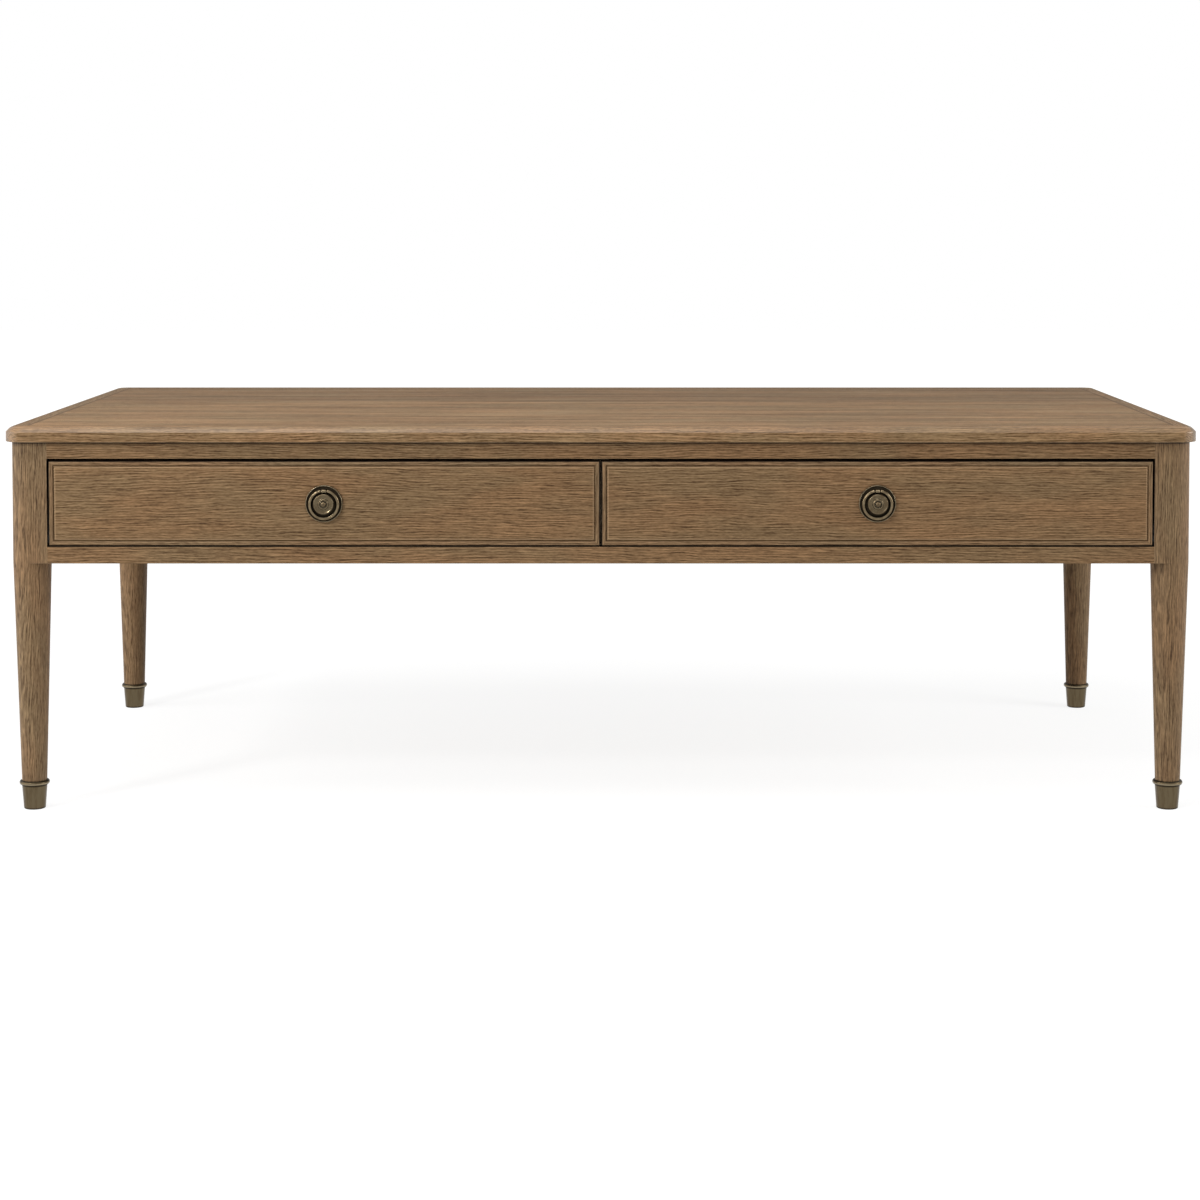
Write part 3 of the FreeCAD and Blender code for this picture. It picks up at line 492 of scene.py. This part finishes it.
def dressDrawer(side, count):
    low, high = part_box(f"drawer_{side}_front")
    middle, half = (low + high) / 2, (high - low) / 2
    bead = drawerSetup["bead"]

    def insets(where):
        # how far in from the ends of the front, and from its top and bottom
        x, _, z = where.parts()
        return half[0] - (x - middle[0]).size(), half[2] - (z - middle[2]).size()

    def alongStrip(where):
        # upright strips get upright grain, divided from the level ones along the mitres
        x, y, z = where.parts()
        return where.math("LESS_THAN", *insets(where)).between(where, where.vector(z, y, x))

    front = Board("oakDrawerFront_" + side, stained, "x", boardShift(count))
    fromEnd, fromLevel = insets(front.where)
    inset = fromEnd.smaller(fromLevel)
    # painted shade in the quirk groove, fainter along the top where the groove faces the light, and broken by
    # uneven patches
    faintStart, faintFull = [half[2] - below for below in drawerSetup["faintTop"]]
    faint = (front.where.parts()[2] - middle[2]).step(faintStart, faintFull) * drawerSetup["faint"]
    uneven = front.where.patches(drawerSetup["uneven"]) * drawerSetup["unevenShare"]
    quirk = inset.line(bead + drawerSetup["quirk"], *drawerSetup["quirkLine"])
    front.stain(quirk * (drawerSetup["quirkShade"] - faint - uneven), stained["dark"])
    # painted shade: the front's outer edges, seen in the gaps, darkened to the dark stain
    front.stain((1 - inset.step(*drawerSetup["frontEdge"])) * drawerSetup["frontEdgeShade"], stained["dark"])
    # painted highlight: a light line along the field's arris, just inside the quirk
    paintedHighlight = inset.line(bead + drawerSetup["paintedHighlight"], *drawerSetup["highlightLine"])
    front.stain(paintedHighlight * drawerSetup["highlightShare"], stained["wornAndHighlight"])
    front.bare(turnedTo(front.where, 1, 1))
    dress(nodes[f"drawer_{side}_front"], front.seal())

    beads = Board("oakBeads_" + side, stained, "x", boardShift(count + 1), turned=alongStrip)
    beads.tone(drawerSetup["beadTone"])
    fromEnd, fromLevel = insets(beads.where)
    inset = fromEnd.smaller(fromLevel)
    # painted shade along the beads' outer edges in the gaps: black near the face, the dark stain further back
    behind = beads.where.parts()[1].step(*[low[1] + depth for depth in drawerSetup["beadRim"]])
    rim = behind.blend(paintedShadeBlack, stained["dark"])  # black only near the face
    beads.stain(1 - inset.step(*drawerSetup["beadEdge"]), rim)
    # painted shade along the bead's inner edge, beside the quirk
    foot = inset.step(*[bead - before for before in drawerSetup["beadFoot"]])
    beads.stain(foot * drawerSetup["beadFootShade"], stained["dark"])
    dress(nodes[f"drawer_{side}_beads"], beads.seal())

    hidden = [("paleOak_", f"drawer_{side}_{piece}", grain)
              for piece, grain in drawerSetup["boxGrain"].items()]
    runners = (f"runner_{side}_outer", f"runner_{side}_inner", f"runner_packer_{side}")
    hidden += [("beech_", name, "y") for name in runners]
    for place, (wood, name, grain) in enumerate(hidden, count + 2):
        dress(nodes[name], Board(wood + name, pale, grain, boardShift(place)).seal())
    return count + 2 + len(hidden)


count = 20
for side in ("left", "right"):
    count = dressDrawer(side, count)
dress(nodes["top_buttons"], Board("paleOakButtons", pale, "x", boardShift(count)).seal())
print("drawers done")

# Aged brass: dull and dark, bright with wear on its edges, with brown-black patina in the plate's dish,
# brown-black painted shade on the ring's and boss's sides and on the ferrules, and a painted highlight on the
# ferrules' beads.
brassLook = {
    "bright": (0.50, 0.42, 0.29, 1), "dull": (0.192, 0.149, 0.090, 1), "brown": (0.092, 0.065, 0.036, 1),
    "dark": (0.008, 0.006, 0.004, 1), "foot": (0.128, 0.099, 0.058, 1), "old": (0.122, 0.094, 0.056, 1),
    "mottleRates": (140.0, 140.0, 140.0), "mottleShown": (0.38, 0.66), "grit": 0.6,
    "speckRates": (900.0, 900.0, 900.0), "speckWear": 0.6, "edgeWear": 0.3, "highlightBrightness": 0.5,
    "edge": 0.0005, "edgeLean": (0.01, 0.12),
    "patinaAndShadeRoughness": 0.30, "mottleRoughness": 0.12, "cleanRoughness": -0.06,
    "relief": 0.06, "reliefDepth": 0.0003,
}


def brass(name, dull, mottle, roughness, patinaAndShade, rates=brassLook["mottleRates"], paintedHighlight=None):
    material, shader, where = newMaterial(name)
    patches = where.stretch(*rates).noise(3.0, brassLook["grit"])
    specks = where.stretch(*brassLook["speckRates"]).noise(2.0, brassLook["grit"])
    colour = (patches.step(*brassLook["mottleShown"]) * mottle).blend(brassLook[dull], brassLook["brown"])
    rounded, lean = easedEdge(where, brassLook["edge"])
    wornAndHighlight = lean.step(*brassLook["edgeLean"]) * (specks * brassLook["speckWear"] + brassLook["edgeWear"])
    if paintedHighlight:
        wornAndHighlight = wornAndHighlight.larger(paintedHighlight(where) * (specks * brassLook["speckWear"] + brassLook["highlightBrightness"]))
    colour = wornAndHighlight.blend(colour, brassLook["bright"])
    dark = patinaAndShade(where)
    dark.blend(colour, brassLook["dark"]).feed(shader, "Base Color")
    uneven = dark * brassLook["patinaAndShadeRoughness"] + patches * brassLook["mottleRoughness"]
    (uneven + (roughness + brassLook["cleanRoughness"])).feed(shader, "Roughness")
    shader.inputs["Metallic"].default_value = 1.0
    specks.relief(brassLook["relief"], brassLook["reliefDepth"], Normal=rounded).feed(shader, "Normal")
    return material


# Pulls: the dish is the hollow inside the plate's thin rim.
pullSetup = {
    "dishEdge": (0.0207, 0.0211), "dishDepth": (0.0045, 0.0032), "dishDark": 0.86,
    "side": (0.22, 0.60),
}


def plateHollow(where):
    # the floor of the dish, also behind the lug
    low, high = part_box("pull_right_plate")
    middle = (low + high) / 2
    x, y, z = where.parts()
    inside = 1 - (x.size() - middle[0]).reach(z - middle[2]).step(*pullSetup["dishEdge"])
    return inside * y.step(*[high[1] - depth for depth in pullSetup["dishDepth"]]) * pullSetup["dishDark"]


def steepShade(where):
    # painted shade on sides that turn away from the front
    return 1 - facing(where)[1].size().step(*pullSetup["side"])


# Feet: heights above the floor of the painted shade and painted highlight on the ferrules.
footSetup = {
    "underBead": 0.0285, "underBeadLine": (0.0004, 0.0018), "mouth": (0.0318, 0.0334),
    "sole": (0.0004, 0.0030), "dark": 0.8,
    "rubAndHighlight": 0.0307, "footHighlightLine": (0.0002, 0.0008), "footHighlightShare": 0.6, "rates": (260.0, 260.0, 36.0),
}


def footShade(where):
    # painted shade: dark lines under the bead and round the sole, and a dark band over the top of the bead
    # where the ferrule meets the leg
    height = where.parts()[2]
    line = height.line(footSetup["underBead"], *footSetup["underBeadLine"])
    line = line.larger(height.step(*footSetup["mouth"])).larger(1 - height.step(*footSetup["sole"]))
    return line * footSetup["dark"]


def footHighlight(where):
    # painted highlight: a bright line low on the bead
    return where.parts()[2].line(footSetup["rubAndHighlight"], *footSetup["footHighlightLine"]) * footSetup["footHighlightShare"]


finishes = {
    "plate": brass("plateBrass", "dull", mottle=0.6, roughness=0.28, patinaAndShade=plateHollow),
    "ring": brass("ringBrass", "dull", mottle=0.6, roughness=0.24, patinaAndShade=steepShade),
    "boss": brass("bossBrass", "old", mottle=0.9, roughness=0.26, patinaAndShade=steepShade),
}
footBrass = brass("footBrass", "foot", mottle=0.7, roughness=0.30, patinaAndShade=footShade,
                  rates=footSetup["rates"], paintedHighlight=footHighlight)
for name in nodes:
    if name.startswith("ferrule_"):
        dress(nodes[name], footBrass)
    if name.startswith("pull_") and not name.endswith("screw"):
        dress(nodes[name], finishes[name.split("_")[-1]])

# Steel screws: zinc with fine turning marks and a little dust.
steelSetup = {
    "dusty": (0.36, 0.36, 0.34, 1), "clean": (0.58, 0.57, 0.54, 1),
    "rates": (300.0, 300.0, 2400.0), "grit": 0.6, "shown": (0.3, 0.7),
    "roughness": 0.30, "markRoughness": 0.25, "relief": 0.15, "reliefDepth": 0.0002,
}
steel, steelShader, steelWhere = newMaterial("zincSteel")
steelShader.inputs["Metallic"].default_value = 1.0
marks = steelWhere.stretch(*steelSetup["rates"]).noise(2.0, steelSetup["grit"])
shine = marks.step(*steelSetup["shown"])
shine.blend(steelSetup["dusty"], steelSetup["clean"]).feed(steelShader, "Base Color")
(steelSetup["roughness"] + marks * steelSetup["markRoughness"]).feed(steelShader, "Roughness")
marks.relief(steelSetup["relief"], steelSetup["reliefDepth"]).feed(steelShader, "Normal")
for name in ("top_screws", "runner_screws", "pull_left_screw", "pull_right_screw"):
    dress(nodes[name], steel)
print("metal done")
